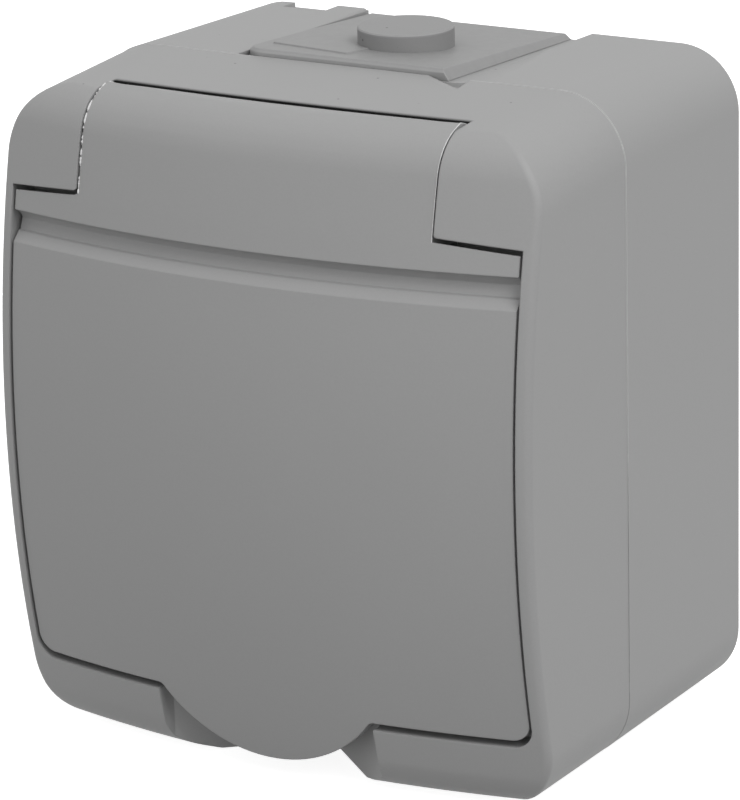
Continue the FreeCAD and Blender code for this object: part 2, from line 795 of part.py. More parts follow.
def fixing_slots():
    """Two level slots in the rear wall for the wall screws."""
    tools = []
    reach = fixing_slot_length / 2 - fixing_hole_radius
    for side in (-1, 1):
        x = side * fixing_spacing / 2
        ends = [y_rod(fixing_hole_radius, x - reach, fixing_height, -FAR / 2, 1)]
        ends.append(y_rod(fixing_hole_radius, x + reach, fixing_height, -FAR / 2, 1))
        ends.append(block(x - reach, x + reach, -FAR / 2, 1, fixing_height - fixing_hole_radius,
                          fixing_height + fixing_hole_radius))
        tools.append(ends[0].multiFuse(ends[1:]))
    return tools


def back_box():
    """Back box: drafted shell with screw posts, carrier pillars, fixing slots and entry recess."""
    outer = loft(back_outline(0.0), back_outline(-parting_depth))
    inner = loft(back_outline(-rear_wall, wall, top_wall), back_outline(-parting_depth - 1, wall, top_wall))
    body = outer.cut(inner)
    top_back = top_height - back_top_draft
    parts = []
    for post in cover_posts(-rear_wall, -parting_depth, post_radius):
        parts.append(post.common(outer))
    for side in (-1, 1):
        pillar = y_rod(carrier_pillar_radius, side * carrier_screw_offset, socket_height,
                       -rear_wall, carrier_back)
        parts.append(pillar)
    body = body.multiFuse(parts)
    depth = cover_screw_length - (floor_depth - cover_screw_sink - parting_depth)
    for hole in cover_posts(-parting_depth + depth, -FAR / 2, cover_screw_radius):
        body = body.cut(hole)
    for side in (-1, 1):
        hole = y_rod(carrier_screw_radius, side * carrier_screw_offset, socket_height,
                     carrier_back - 1, carrier_back + carrier_screw_length - carrier_lug_thickness)
        body = body.cut(hole)
    for slot in fixing_slots():
        body = body.cut(slot)
    body = body.cut(entry_room()).cut(seal_ring())
    bore = rod(grommet_flange_radius + entry_bore_gap, Vector(0, -grommet_depth, top_height - 2 * top_wall),
               Vector(0, -grommet_depth, top_height + top_wall))
    body = body.cut(bore)
    notch = block(rear_notch_left, rear_notch_right, -rear_notch_length, 1,
                  top_back - rear_notch_depth, top_height + 1)
    body = body.cut(notch)
    rise = block(rear_notch_right, entry_left - entry_side_gap, -rear_block_length, 0,
                 top_back - 1, top_back + rear_block_rise)
    end = [e for e in rise.Edges if e.BoundBox.XMin > entry_left - entry_side_gap - 0.01
           and e.BoundBox.ZMin > top_back + rear_block_rise - 0.01]
    return body.fuse(rise.makeFillet(rear_block_radius, end)).removeSplitter()


def joint_seal():
    """Soft ring between the box and the cover."""
    return seal_ring()


def socket_well():
    """Round well with its floor, pin holes, guide ribs and slots for the earth clips."""
    outer = well_radius + well_wall
    body = y_rod(outer, 0, socket_height, well_front, carrier_front)
    body = body.cut(y_rod(well_radius, 0, socket_height, well_front, well_floor_front))
    for side in (-1, 1):
        x0 = side * (well_radius - guide_rib_height)
        half = guide_rib_width / 2
        rib = block(x0, side * (well_radius + well_wall / 2), well_front, well_floor_front,
                    socket_height - half, socket_height + half)
        body = body.fuse(rib)
        hole = y_rod(pin_hole_radius, side * pin_spacing / 2, socket_height, well_front, 0)
        body = body.cut(hole)
        z0 = socket_height + side * (clip_offset - fit_gap)
        z1 = socket_height + side * (clip_offset + strip_thickness + fit_gap)
        slot_half = strap_width / 2 + fit_gap
        body = body.cut(block(-slot_half, slot_half, well_floor_front - 1, carrier_front + 1, z0, z1))
    body = body.cut(y_rod(well_screw_radius + screw_hole_gap, 0, socket_height, well_front, 0))
    return body.removeSplitter()


def contact_shape(side, front, grow=0.0):
    """Pin sleeve, link strip and terminal cage of one pole, or the open chamber they need."""
    x = side * pin_spacing / 2
    end = carrier_front + sleeve_length
    sleeve = y_rod(sleeve_bore_radius + sleeve_wall + grow, x, socket_height, carrier_front, end + grow)
    cage_x = side * cage_spacing
    half = cage_width / 2 + grow
    cage_z = socket_height - cage_offset
    tall = cage_height / 2 + grow
    cage = block(cage_x - half, cage_x + half, front, cage_front + cage_depth + grow,
                 cage_z - tall, cage_z + tall)
    strip_half = strap_width / 2 + grow
    middle = (x + cage_x) / 2
    strip = block(middle - strip_half, middle + strip_half, front,
                  cage_front + strip_thickness + grow, cage_z, socket_height)
    return sleeve.multiFuse([cage, strip])


def cage_hollow(x):
    """Wire room and screw hole of one terminal cage."""
    z = socket_height - cage_offset
    front = cage_front
    half = cage_width / 2 - cage_wall
    wire = block(x - half, x + half, front + cage_front_wall, front + cage_depth - cage_wall,
                 z - cage_height, z + cage_height / 2 - cage_wall)
    screw = y_rod(terminal_screw_radius, x, z, front - 1, front + cage_front_wall + fit_gap)
    return wire.fuse(screw)


def pole_contact(side):
    """Live or neutral contact: slit sleeve, strip and cage in one bent and pressed piece."""
    body = contact_shape(side, cage_front)
    x = side * pin_spacing / 2
    body = body.cut(y_rod(sleeve_bore_radius, x, socket_height, carrier_front - 1, 0))
    half = sleeve_slit / 2
    slit = block(x - half, x + half, carrier_front + sleeve_slit_start, 0, socket_height,
                 socket_height + 2 * sleeve_bore_radius)
    body = body.cut(slit).cut(cage_hollow(side * cage_spacing))
    return body.removeSplitter()


def strap_shape(front, grow=0.0):
    """Flat upright earth strap with its cage, or the open chamber they need."""
    half = strap_width / 2 + grow
    reach = clip_offset + strip_thickness + grow
    strap = block(-half, half, front, cage_front + strip_thickness + grow,
                  socket_height - reach, socket_height + reach)
    cage_z = socket_height - cage_offset
    cage_half = cage_width / 2 + grow
    tall = cage_height / 2 + grow
    cage = block(-cage_half, cage_half, front, cage_front + cage_depth + grow, cage_z - tall, cage_z + tall)
    return strap.fuse(cage)


def earth_strap():
    """Earth strap with two clips bent forward into the well, each with a bulge for the plug."""
    body = strap_shape(cage_front)
    half = strap_width / 2
    for side in (-1, 1):
        inner = socket_height + side * clip_offset
        outer = inner + side * strip_thickness
        clip = block(-half, half, carrier_front - clip_length, cage_front + strip_thickness, inner, outer)
        middle = carrier_front - clip_length * clip_bulge_share
        level = inner + side * clip_bulge_centre
        radius = clip_bulge_radius
        bulge = rod(radius, Vector(-half, middle, level), Vector(half, middle, level))
        keep = block(-half, half, middle - radius, middle + radius, inner - side * radius, inner)
        clip = clip.fuse(bulge.common(keep))
        body = body.fuse(clip)
    body = body.cut(y_rod(well_screw_radius + screw_hole_gap, 0, socket_height, -FAR / 2, 0))
    return body.cut(cage_hollow(0)).removeSplitter()


def contact_carrier():
    """Moulded carrier with a chamber for each contact and a lug for each fixing screw."""
    half = carrier_half_width
    body = block(-half, half, carrier_front, carrier_back, socket_height - carrier_half_height,
                 socket_height + carrier_half_height)
    upright = [e for e in body.Edges if e.BoundBox.YLength > 1]
    body = body.makeFillet(carrier_corner_radius, upright)
    for side in (-1, 1):
        lug = y_rod(carrier_lug_radius, side * carrier_screw_offset, socket_height,
                    carrier_back - carrier_lug_thickness, carrier_back)
        arm = block(side * (half - 1), side * carrier_screw_offset, carrier_back - carrier_lug_thickness,
                    carrier_back, socket_height - carrier_lug_radius, socket_height + carrier_lug_radius)
        body = body.multiFuse([lug, arm])
    for side in (-1, 1):
        body = body.cut(contact_shape(side, carrier_front, fit_gap))
        hole = y_rod(carrier_screw_radius + screw_hole_gap, side * carrier_screw_offset, socket_height,
                     -FAR / 2, 0)
        body = body.cut(hole)
    body = body.cut(strap_shape(carrier_front, fit_gap))
    low = socket_height - carrier_half_height - 1
    for x in (-cage_spacing, 0, cage_spacing):
        wire_half = cage_width / 2 - cage_wall
        wire = block(x - wire_half, x + wire_half, cage_front + cage_front_wall,
                     cage_front + cage_depth - cage_wall, low, socket_height - cage_offset)
        body = body.cut(wire)
    body = body.cut(y_rod(well_screw_radius, 0, socket_height, carrier_front,
                          carrier_back - carrier_rear_skin))
    return body.removeSplitter()


def slotted_screw(radius, length, head_radius, head_height, x, z, y):
    """Slotted cheese-head screw whose head rests at depth y, pointing into the wall."""
    shaft = y_rod(radius, x, z, y, y + length)
    head = y_rod(head_radius, x, z, y - head_height, y)
    rim = [e for e in head.Edges if abs(e.BoundBox.YMin - (y - head_height)) < 0.01
           and e.BoundBox.YLength < 0.01]
    head = head.makeChamfer(head_height * screw_head_chamfer_share, rim)
    slot = block(x - head_radius, x + head_radius, y - head_height - 1,
                 y - head_height + slot_in_head_depth, z - slot_in_head_width / 2, z + slot_in_head_width / 2)
    return head.cut(slot).fuse(shaft).removeSplitter()


def well_screw():
    """Screw through the middle of the well's floor into the carrier."""
    return slotted_screw(well_screw_radius, well_screw_length, well_screw_head_radius,
                         well_screw_head_height, 0, socket_height, well_floor_front)


def carrier_screws():
    """Two screws that hold the carrier's lugs on the pillars."""
    y = carrier_back - carrier_lug_thickness
    screws = []
    for side in (-1, 1):
        screws.append(slotted_screw(carrier_screw_radius, carrier_screw_length, carrier_screw_head_radius,
                                    carrier_screw_head_height, side * carrier_screw_offset, socket_height, y))
    return Part.makeCompound(screws)


def cover_screws():
    """Two screws that hold the cover on the box."""
    y = -floor_depth + cover_screw_sink - screw_ring_thickness
    screws = []
    for x, z in cover_screw_spots:
        screws.append(slotted_screw(cover_screw_radius, cover_screw_length, cover_screw_head_radius,
                                    cover_screw_head_height, x, z, y))
    return Part.makeCompound(screws)


def screw_rings():
    """Soft ring under the head of each cover screw."""
    rear = -floor_depth + cover_screw_sink
    front = rear - screw_ring_thickness
    rings = []
    for x, z in cover_screw_spots:
        rings.append(tube(cover_screw_head_radius, cover_screw_radius, x, z, front, rear))
    return Part.makeCompound(rings)


def terminal_screws():
    """Three screws, one in each terminal cage."""
    screws = []
    for x in (-cage_spacing, 0, cage_spacing):
        screws.append(slotted_screw(terminal_screw_radius, cage_front_wall + clamp_top_gap,
                                    terminal_head_radius, terminal_head_height, x,
                                    socket_height - cage_offset, cage_front))
    return Part.makeCompound(screws)


def terminal_clamps():
    """Three small pressure plates under the terminal screws."""
    plates = []
    front = cage_front + cage_front_wall + clamp_top_gap
    z = socket_height - cage_offset
    half = cage_width / 2 - cage_wall - clamp_side_gap
    for x in (-cage_spacing, 0, cage_spacing):
        plates.append(block(x - half, x + half, front, front + clamp_thickness,
                            z - clamp_reach_down, z + clamp_reach_up))
    return Part.makeCompound(plates)


def hinge_pin(side):
    """Steel pin: fast in the ear, running in the lid's knuckle."""
    body = x_rod(pin_radius, side * pin_inner_end, side * pin_outer_end)
    ends = [e for e in body.Edges if e.BoundBox.XLength < 0.01]
    return body.makeChamfer(pin_radius / 5, ends)


def lid_spring():
    """Close-wound torsion spring on the right-hand pin. One leg lies on the lid, one in the trough."""
    inner = pin_radius + spring_pin_gap
    start = pin_inner_end + spring_end_gap
    end = start + spring_wire * 2 * spring_turns
    mean = inner + spring_wire
    spots = [Vector(start, 0, inner), Vector(start, 0, mean)]
    for turn in range(spring_turns):
        x0 = start + spring_wire * 2 * turn
        spots.append(Vector(x0 + spring_wire, 0, mean + spring_wire))
        spots.append(Vector(x0 + 2 * spring_wire, 0, mean))
    spots.append(Vector(end, 0, inner))
    coil = Part.Face(Part.makePolygon(spots + spots[:1])).revolve(Vector(0, 0, 0), AXIS_X, 360)
    legs = []
    for x, y in ((end - spring_wire, -mean), (start + spring_wire, mean)):
        foot = Vector(x, y, 0)
        way = Vector(0, -spring_leg_lean, -1).normalize()
        legs.append(rod(spring_wire * spring_leg_share, foot, foot + way * spring_leg))
    body = coil.multiFuse(legs)
    body.translate(hinge_point)
    return body


def lid_seal():
    """Flat soft ring on the lid's inner ring wall, opposite the collar."""
    outer = well_radius + well_wall + collar_gap + collar_thickness
    rear = -collar_front_depth - seal_gap
    return tube(outer, outer - seal_ring_width, 0, socket_height, rear - seal_thickness, rear)


def build():
    """Every piece by the name of its node."""
    return {
        "back_box": back_box(),
        "front_cover": front_cover(),
        "lid": lid(),
        "hinge_pin_left": hinge_pin(-1),
        "hinge_pin_right": hinge_pin(1),
        "lid_spring": lid_spring(),
        "lid_seal": lid_seal(),
        "joint_seal": joint_seal(),
        "entry_plate": entry_plate(),
        "entry_grommet": entry_grommet(),
        "socket_well": socket_well(),
        "contact_carrier": contact_carrier(),
        "live_contact": pole_contact(-1),
        "neutral_contact": pole_contact(1),
        "earth_strap": earth_strap(),
        "terminal_screws": terminal_screws(),
        "terminal_clamps": terminal_clamps(),
        "well_screw": well_screw(),
        "carrier_screws": carrier_screws(),
        "cover_screws": cover_screws(),
        "screw_rings": screw_rings(),
    }


def main():
    """Write one STEP file for each piece."""
    os.makedirs("parts", exist_ok=True)
    for name, shape in build().items():
        shape.exportStep("parts/" + name + ".step")


if __name__ == "__main__":
    main()
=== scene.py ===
"""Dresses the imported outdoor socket: finishes, soft edges, small metal parts, studio and camera."""

import json
import math

import bmesh
import bpy
from bpy.props import FloatProperty, FloatVectorProperty, PointerProperty
from mathutils import Matrix, Vector


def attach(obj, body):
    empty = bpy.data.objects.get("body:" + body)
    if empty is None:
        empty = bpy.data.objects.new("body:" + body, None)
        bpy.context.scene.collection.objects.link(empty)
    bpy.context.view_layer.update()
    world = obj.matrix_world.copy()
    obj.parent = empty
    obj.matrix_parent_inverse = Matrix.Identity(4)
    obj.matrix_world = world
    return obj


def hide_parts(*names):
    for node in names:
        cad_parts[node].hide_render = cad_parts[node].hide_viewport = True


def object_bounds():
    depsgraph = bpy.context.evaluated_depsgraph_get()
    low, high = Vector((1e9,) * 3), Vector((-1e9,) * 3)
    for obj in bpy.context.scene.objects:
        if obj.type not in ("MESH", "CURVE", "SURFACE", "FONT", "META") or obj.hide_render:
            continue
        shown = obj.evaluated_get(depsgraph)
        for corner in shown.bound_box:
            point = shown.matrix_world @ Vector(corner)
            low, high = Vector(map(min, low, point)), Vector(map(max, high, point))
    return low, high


bl_info = {
    "name": "Outdoor socket dresser",
    "version": (1, 0, 0),
    "blender": (4, 5, 0),
    "location": "View3D > Sidebar > Socket",
    "description": "Finishes, small metal parts and a studio for the weatherproof socket",
    "category": "Object",
}

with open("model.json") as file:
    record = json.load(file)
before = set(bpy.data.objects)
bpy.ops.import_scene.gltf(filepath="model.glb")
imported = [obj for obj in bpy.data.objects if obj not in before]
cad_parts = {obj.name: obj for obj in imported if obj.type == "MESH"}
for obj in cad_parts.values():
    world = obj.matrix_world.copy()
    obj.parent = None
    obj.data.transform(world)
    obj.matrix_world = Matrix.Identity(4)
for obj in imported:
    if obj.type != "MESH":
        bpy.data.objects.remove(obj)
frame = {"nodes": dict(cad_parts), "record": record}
CAD_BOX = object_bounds()
MM = 0.001

# Places on the socket, in millimetres. A depth is measured from the wall, and a band is the
# range of heights over which a kind of wear, or of painted light, sets in.
JOINT_DEPTH = 31.2
SOCKET_LEVEL = -4.5
COVER_SCREWS = {"Count": 2, "First": (31.0, -46.0, 23.0), "Step": (-62.0, 0.0, -49.0)}
SPRING_END = (11.15, -49.3, 34.6)
TOP_BAND = (40.3, 40.8)
# Heights over which the painted light on the joint's step fades in
JOINT_LIGHT_BAND = (-14, 4)
GROMMET_BAND = (44.3, 44.6)
SLAB_MIDDLE, SLAB_HALF_WIDTH = -1.4, 15.1
# The slot under the cover's top edge, whose rear rim gets a band of painted shade
SLOT_LEVEL, SLOT_HALF_WIDTH = 39.0, 25.0
SLOT_DEPTH, SLOT_BOW = 46.7, 0.00112  # of its rear rim, which bows with the square of x
EDGE_ROUNDING = 0.25

# Limits for meshes: points that are one, and angles at which faces are one, sharp or smooth
WELD = 0.002 * MM
FLAT_ANGLE = math.radians(0.4)
SHARP_ANGLE = math.radians(28)
SMOOTH_ANGLE = math.radians(35)

# The camera's film, in millimetres
FILM_SIDE = 36


# Node graphs

class Num:
    """A number that a node gives. Python's own signs join it to other numbers."""

    def __init__(self, graph, socket):
        self.graph = graph
        self.socket = socket

    def math(self, operation, *values, clamp=False):
        settings = {"operation": operation, "use_clamp": clamp}
        node = self.graph.node("ShaderNodeMath", settings, dict(enumerate(values)))
        return Num(self.graph, node.outputs[0])

    def __add__(self, other):
        return self.math("ADD", self, other)

    def __sub__(self, other):
        return self.math("SUBTRACT", self, other)

    def __rsub__(self, other):
        return self.math("SUBTRACT", other, self)

    def __mul__(self, other):
        return self.math("MULTIPLY", self, other)

    def __truediv__(self, other):
        return self.math("DIVIDE", self, other)

    def __rtruediv__(self, other):
        return self.math("DIVIDE", other, self)

    def __neg__(self):
        return self.math("MULTIPLY", self, -1.0)

    def __abs__(self):
        return self.math("ABSOLUTE", self)

    def clamped(self):
        return self.math("ADD", self, 0.0, clamp=True)

    def sine(self):
        return self.math("SINE", self)

    def cosine(self):
        return self.math("COSINE", self)

    def power(self, exponent):
        return self.math("POWER", self, exponent)

    def above(self, limit):
        return self.math("GREATER_THAN", self, limit)

    def below(self, limit):
        return self.math("LESS_THAN", self, limit)

    def squared_off(self, exponent):
        """A wave from -1 to 1 pressed towards a square one, with its sign kept."""
        return self.math("SIGN", self) * abs(self).power(exponent)

    __radd__ = __add__
    __rmul__ = __mul__


class Graph:
    """A node tree under construction, for a finish or for a shape."""

    COLUMNS, COLUMN_WIDTH, ROW_HEIGHT = 12, 190, 260

    def __init__(self, tree):
        self.tree = tree
        self.count = 0

    def node(self, kind, settings=None, inputs=None):
        """One node of any type: settings come first, then its sockets' values or links."""
        node = self.tree.nodes.new(kind)
        row, column = divmod(self.count, self.COLUMNS)
        node.location = (column * self.COLUMN_WIDTH, -row * self.ROW_HEIGHT)
        self.count += 1
        for key, value in (settings or {}).items():
            setattr(node, key, value)
        for key, value in (inputs or {}).items():
            self.feed(node.inputs[key], value)
        return node

    def split(self, vector):
        """The three numbers of a vector."""
        parts = self.node("ShaderNodeSeparateXYZ", None, {0: vector}).outputs
        return [Num(self, part) for part in parts]

    def feed(self, socket, value):
        """Link a value that comes from a node, or write a plain one."""
        source = value.socket if isinstance(value, Num) else value
        if isinstance(source, bpy.types.NodeSocket):
            self.tree.links.new(source, socket)
        else:
            socket.default_value = source


class Finish(Graph):
    """A material whose patterns sit in object coordinates, measured in millimetres."""

    def __init__(self, name, colour, roughness, **shader):
        self.material = bpy.data.materials.new(name)
        self.material.use_nodes = True
        self.material.diffuse_color = (*colour, 1)
        super().__init__(self.material.node_tree)
        self.tree.nodes.clear()
        inputs = {"Base Color": (*colour, 1), "Roughness": roughness, **shader}
        self.shader = self.node("ShaderNodeBsdfPrincipled", None, inputs)
        inputs = {0: self.node("ShaderNodeTexCoord").outputs["Object"], "Scale": 1 / MM}
        self.place = self.node("ShaderNodeVectorMath", {"operation": "SCALE"}, inputs).outputs[0]
        self.x, self.y, self.z = self.split(self.place)
        surface = self.shader.outputs[0]
        self.node("ShaderNodeOutputMaterial", None, {"Surface": surface})

    def noise(self, size, detail=2.0, roughness=0.5, stretch=None):
        """Even noise from 0 to 1 whose blots are about that many millimetres wide."""
        place = self.place
        if stretch:
            inputs = {"Vector": place, "Scale": stretch}
            place = self.node("ShaderNodeMapping", None, inputs).outputs[0]
        inputs = {"Vector": place, "Scale": 1 / size, "Detail": detail, "Roughness": roughness}
        return Num(self, self.node("ShaderNodeTexNoise", None, inputs).outputs["Fac"])

    def ramp(self, value, low, high):
        """0 below low, 1 above high, straight between."""
        inputs = {"Value": value, "From Min": low, "From Max": high}
        return Num(self, self.node("ShaderNodeMapRange", {"clamp": True}, inputs).outputs[0])

    def within(self, value, middle, reach, fade):
        """1 inside a reach either side of a middle, 0 outside it, with a fade across its end."""
        return self.ramp(abs(value - middle), reach + fade, reach - fade)

    def specks(self, spacing, radius):
        """1 inside small round specks, 0 elsewhere, with a soft rim."""
        inputs = {"Vector": self.place, "Scale": 1 / spacing}
        cells = self.node("ShaderNodeTexVoronoi", None, inputs)
        from_middle = Num(self, cells.outputs["Distance"]) * spacing
        return 1 - self.ramp(from_middle, radius * 0.6, radius)

    def patches(self, size, low, high):
        """1 in cloudy patches that cover what lies above a level of noise, 0 elsewhere."""
        return self.ramp(self.noise(size), low, high)

    def mix(self, factor, first, second):
        """Colour between two others."""
        settings = {"data_type": "RGBA"}
        node = self.node("ShaderNodeMix", settings, {0: factor, 6: first, 7: second})
        return node.outputs[2]

    def tinted(self, factor, colour, start, end):
        """A colour times a number that runs from start to end."""
        base = Vector(colour)
        return self.mix(factor, (*base * start, 1), (*base * end, 1))

    def colour(self, value):
        """The finish's colour at each point."""
        self.feed(self.shader.inputs["Base Color"], value)

    def roughness(self, value):
        """The finish's roughness at each point."""
        self.feed(self.shader.inputs["Roughness"], value)

    def relief(self, height, depth, normal=None):
        """Bump from a height of 0 to 1, that many millimetres deep, over a normal of its own."""
        inputs = {"Height": height, "Distance": depth * MM, "Strength": 1.0}
        if normal:
            inputs["Normal"] = normal
        bump = self.node("ShaderNodeBump", None, inputs)
        self.feed(self.shader.inputs["Normal"], bump.outputs[0])

    def rounded(self, radius):
        """Normal that turns softly over sharp edges, but not at the joint of box and cover."""
        soft = self.node("ShaderNodeBevel", {"samples": 6}, {"Radius": radius * MM}).outputs[0]
        plain = self.node("ShaderNodeNewGeometry").outputs["Normal"]
        away = self.ramp(abs(self.y + JOINT_DEPTH), radius, radius * 1.5)
        inputs = {0: away, 4: plain, 5: soft}
        return self.node("ShaderNodeMix", {"data_type": "VECTOR"}, inputs).outputs[1]


def grey(level):
    """An opaque grey."""
    return (level, level, level, 1)


class Shape(Graph):
    """A Geometry Nodes group whose named inputs drive one kind of piece."""

    KINDS = {int: "NodeSocketInt", float: "NodeSocketFloat", tuple: "NodeSocketVector"}

    def __init__(self, name, defaults, source=False):
        super().__init__(bpy.data.node_groups.new(name, "GeometryNodeTree"))
        slots = self.tree.interface
        slots.new_socket(name="Piece", in_out="OUTPUT", socket_type="NodeSocketGeometry")
        if source:
            slots.new_socket(name="Source", in_out="INPUT", socket_type="NodeSocketGeometry")
        self.keys = {}
        for label, value in defaults.items():
            slot = slots.new_socket(name=label, in_out="INPUT", socket_type=self.KINDS[type(value)])
            slot.default_value = value
            self.keys[label] = slot.identifier
        slot = slots.new_socket(name="Finish", in_out="INPUT", socket_type="NodeSocketMaterial")
        self.keys["Finish"] = slot.identifier
        self.given = self.node("NodeGroupInput").outputs

    def value(self, label):
        """One of the group's own inputs."""
        return Num(self, self.given[label])

    def vector(self, x, y, z):
        """Vector of three numbers."""
        return self.node("ShaderNodeCombineXYZ", None, {0: x, 1: y, 2: z}).outputs[0]

    def skin(self, around, along, rule):
        """Closed skin about the Y axis. The rule gives radius and level from turn and way."""
        inputs = {0: 1.0, 1: 1.0, 2: around, 3: along}
        grid = self.node("GeometryNodeMeshGrid", None, inputs).outputs[0]
        place = self.node("GeometryNodeInputPosition").outputs[0]
        x, y, _ = self.split(place)
        turn = (x + 0.5) * math.tau
        radius, level = rule(turn, y + 0.5)
        spot = self.vector(radius * turn.cosine(), level, radius * turn.sine())
        inputs = {"Geometry": self.moved(grid, spot), "Distance": WELD}
        return self.node("GeometryNodeMergeByDistance", None, inputs).outputs[0]

    def moved(self, piece, spot):
        """A geometry whose points go to new places."""
        inputs = {"Geometry": piece, "Position": spot}
        return self.node("GeometryNodeSetPosition", None, inputs).outputs[0]

    def swept(self, path, radius, **more):
        """A round bar along a path, with as many sides as the group says."""
        inputs = {"Resolution": self.given["Sides"], "Radius": radius}
        ring = self.node("GeometryNodeCurvePrimitiveCircle", None, inputs).outputs[0]
        inputs = {"Curve": path, "Profile Curve": ring, **more}
        return self.node("GeometryNodeCurveToMesh", None, inputs).outputs[0]

    def join(self, *pieces):
        """Several geometries as one."""
        node = self.node("GeometryNodeJoinGeometry")
        for piece in pieces:
            self.tree.links.new(piece, node.inputs[0])
        return node.outputs[0]

    def row(self, piece):
        """The same piece at each place of a straight row, each with a turn of its own."""
        line = self.node("GeometryNodeMeshLine", None, {
            "Count": self.given["Count"], "Start Location": self.given["First"],
            "Offset": self.given["Step"]}).outputs[0]
        settings, inputs = {"data_type": "FLOAT"}, {"Seed": self.given["Seed"]}
        chance = self.node("FunctionNodeRandomValue", settings, inputs).outputs[1]
        spin = (Num(self, chance) - 0.5) * self.value("Scatter")
        inputs = {"Points": line, "Instance": piece, "Rotation": self.vector(0.0, spin, 0.0)}
        return self.node("GeometryNodeInstanceOnPoints", None, inputs).outputs[0]

    def close(self, piece):
        """End of the group: real geometry with its finish."""
        real = self.node("GeometryNodeRealizeInstances", None, {0: piece}).outputs[0]
        inputs = {"Geometry": real, "Material": self.given["Finish"]}
        done = self.node("GeometryNodeSetMaterial", None, inputs).outputs[0]
        self.node("NodeGroupOutput", None, {0: done})


# Shapes that follow a rule

ORIGIN = (0.0, 0.0, 0.0)
ROW = {"Count": 1, "First": ORIGIN, "Step": ORIGIN, "Scatter": 0.0, "Seed": 4}
ROUND_RIM = 2 / 9


def screw_shape():
    """Slotted cheese-head screw with a true thread, along +Y from under its head."""
    made = Shape("Slotted_screw", {
        "Shank radius": 1.5 * MM, "Length": 10.0 * MM, "Head radius": 3.0 * MM,
        "Head height": 2.0 * MM, "Slot width": 0.8 * MM, "Slot depth": 0.9 * MM,
        "Pitch": 0.7 * MM, "Thread depth": 0.2 * MM, "Plain length": 1.5 * MM, **ROW})
    tall, length, pitch = (made.value(name) for name in ("Head height", "Length", "Pitch"))

    def head(turn, way):
        wave = way * math.pi
        radius = made.value("Head radius") * wave.sine().clamped().power(ROUND_RIM)
        level = wave.cosine().squared_off(ROUND_RIM) * tall * -0.5 - tall * 0.5
        return radius, level

    def shank(turn, way):
        level = way * length
        phase = level / pitch - turn / math.tau
        flank = abs(phase.math("FRACT", phase) - 0.5) * 2
        worked = ((level - made.value("Plain length")) / pitch).clamped()
        end = ((length - level) / made.value("Shank radius")).clamped()
        full = made.value("Shank radius") - made.value("Thread depth") * flank * worked
        return full * end.power(0.5), level

    top = made.skin(around=65, along=41, rule=head)
    bar = made.vector(made.value("Head radius") * 4, made.value("Slot depth") * 2,
                      made.value("Slot width"))
    cutter = made.node("GeometryNodeMeshCube", None, {"Size": bar}).outputs[0]
    inputs = {"Geometry": cutter, "Translation": made.vector(0.0, -tall, 0.0)}
    lifted = made.node("GeometryNodeTransform", None, inputs).outputs[0]
    settings, inputs = {"operation": "DIFFERENCE"}, {0: top, 1: lifted}
    slotted = made.node("GeometryNodeMeshBoolean", settings, inputs).outputs[0]
    bolt = made.skin(around=33, along=181, rule=shank)
    made.close(made.row(made.join(slotted, bolt)))
    return made


def spring_shape():
    """Torsion spring of round wire whose coil runs on into two straight legs, along +X."""
    made = Shape("Torsion_spring", {
        "Wire radius": 0.33 * MM, "Coil radius": 1.85 * MM, "Turns": 7.5, "Coil length": 4.9 * MM,
        "Leg length": 5.2 * MM, "Leg lean": 0.15, "Leg share": 0.06, "Points": 520, "Sides": 12})
    line = made.node("GeometryNodeMeshLine", None, {"Count": made.given["Points"]}).outputs[0]
    index = Num(made, made.node("GeometryNodeInputIndex").outputs[0])
    way = index / (made.value("Points") - 1)
    share = made.value("Leg share")
    coil = ((way - share) / (1 - share * 2)).clamped()
    before = (1 - way / share).clamped() * made.value("Leg length")
    after = ((way - 1) / share + 1).clamped() * made.value("Leg length")
    angle = coil * made.value("Turns") * math.tau
    reach = made.value("Coil radius")
    legs = before + after
    y = reach * angle.cosine() - legs * made.value("Leg lean")
    z = reach * angle.sine() - legs
    line = made.moved(line, made.vector(coil * made.value("Coil length"), y, z))
    path = made.node("GeometryNodeMeshToCurve", None, {"Mesh": line}).outputs[0]
    made.close(made.swept(path, made.value("Wire radius"), **{"Fill Caps": True}))
    return made


def ring_shape():
    """Soft ring of plump square section about the Y axis, from its front level backwards."""
    made = Shape("Soft_ring", {
        "Outer radius": 3.0 * MM, "Inner radius": 1.8 * MM, "Thickness": 0.8 * MM,
        "Squareness": 4.0, **ROW})
    outer, inner = made.value("Outer radius"), made.value("Inner radius")
    power = 2 / made.value("Squareness")

    def rule(turn, way):
        wave = way * math.tau
        radius = (outer + inner) / 2 + wave.cosine().squared_off(power) * (outer - inner) / 2
        level = (wave.sine().squared_off(power) + 1) * made.value("Thickness") / 2
        return radius, level

    made.close(made.row(made.skin(around=129, along=25, rule=rule)))
    return made


